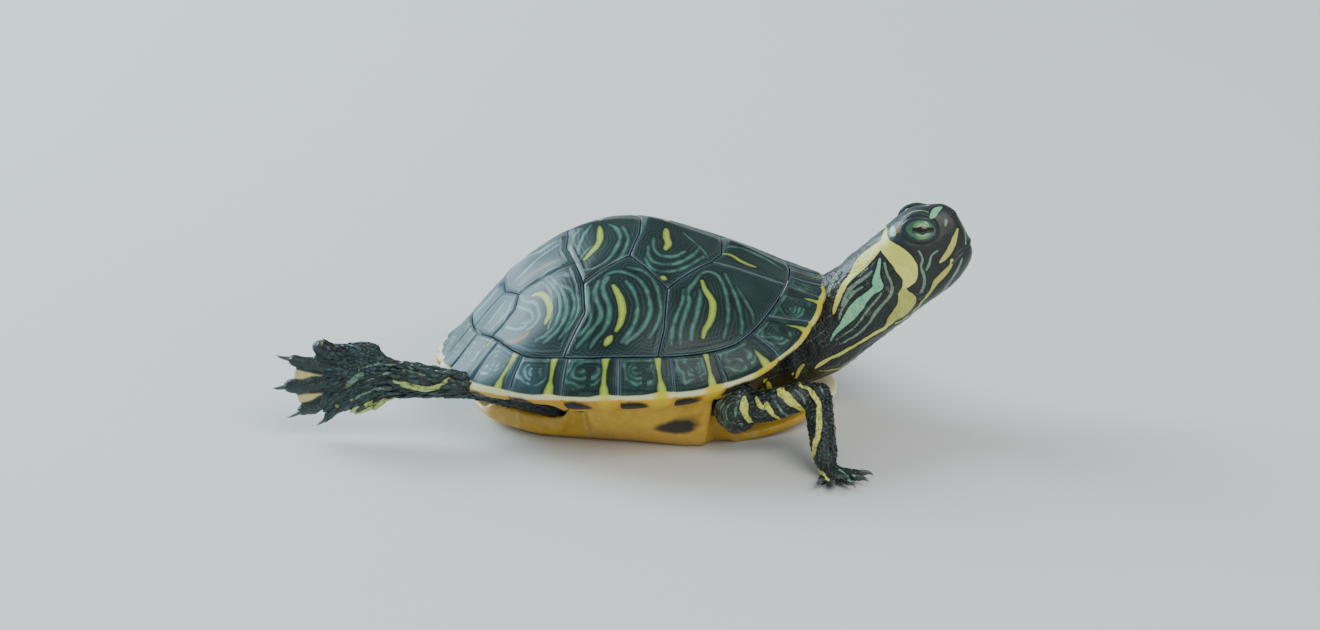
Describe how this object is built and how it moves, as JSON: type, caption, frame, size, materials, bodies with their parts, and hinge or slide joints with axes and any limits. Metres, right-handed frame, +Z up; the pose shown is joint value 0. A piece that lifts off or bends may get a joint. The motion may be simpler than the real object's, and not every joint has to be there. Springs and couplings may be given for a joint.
{
  "type": "yellow-bellied slider turtle",
  "caption": "Life-size young yellow-bellied slider turtle, basking belly down with its neck raised and one hind leg stretched back.",
  "frame": {"origin": "centre of the flat under the belly", "axes": "+X forward along the body towards the head, +Y the animal's left, +Z up"},
  "size_m": [0.1247, 0.0838, 0.0387],
  "materials": {
    "carapace": "satin horn, dark blue-green with pale wavy lines and yellow-green bars",
    "plastron": "satin horn, ochre yellow with black blotches on the bridges",
    "skin": "fine-scaled, dark green with yellow and mint stripes",
    "eye": "polished, green iris with a black pupil and bar",
    "claw": "satin horn, dark grey"
  },
  "bodies": {
    "root": {"vertebral_1": "carapace", "vertebral_2": "carapace", "vertebral_3": "carapace", "vertebral_4": "carapace", "vertebral_5": "carapace", "pleural_left_1": "carapace", "pleural_right_1": "carapace", "pleural_left_2": "carapace", "pleural_right_2": "carapace", "pleural_left_3": "carapace", "pleural_right_3": "carapace", "pleural_left_4": "carapace", "pleural_right_4": "carapace", "nuchal": "carapace", "marginals_left_front": "carapace", "marginals_right_front": "carapace", "marginals_left_bridge": "carapace", "marginals_right_bridge": "carapace", "marginals_left_rear": "carapace", "marginals_right_rear": "carapace", "plastron": "plastron", "trunk": "skin", "eye_left": "eye", "eye_right": "eye", "head": "skin", "lower_jaw": "skin", "neck": "skin", "tail": "skin", "claw_front_right_1": "claw", "claw_front_right_2": "claw", "claw_front_right_3": "claw", "claw_front_right_4": "claw", "claw_front_right_5": "claw", "upper_arm_right": "skin", "forearm_right": "skin", "hand_right": "skin", "claw_front_left_1": "claw", "claw_front_left_2": "claw", "claw_front_left_3": "claw", "claw_front_left_4": "claw", "claw_front_left_5": "claw", "upper_arm_left": "skin", "forearm_left": "skin", "hand_left": "skin", "claw_hind_right_1": "claw", "claw_hind_right_2": "claw", "claw_hind_right_3": "claw", "claw_hind_right_4": "claw", "thigh_right": "skin", "shank_right": "skin", "foot_right": "skin", "claw_hind_left_1": "claw", "claw_hind_left_2": "claw", "claw_hind_left_3": "claw", "claw_hind_left_4": "claw", "thigh_left": "skin", "shank_left": "skin", "foot_left": "skin"}
  },
  "joints": []
}
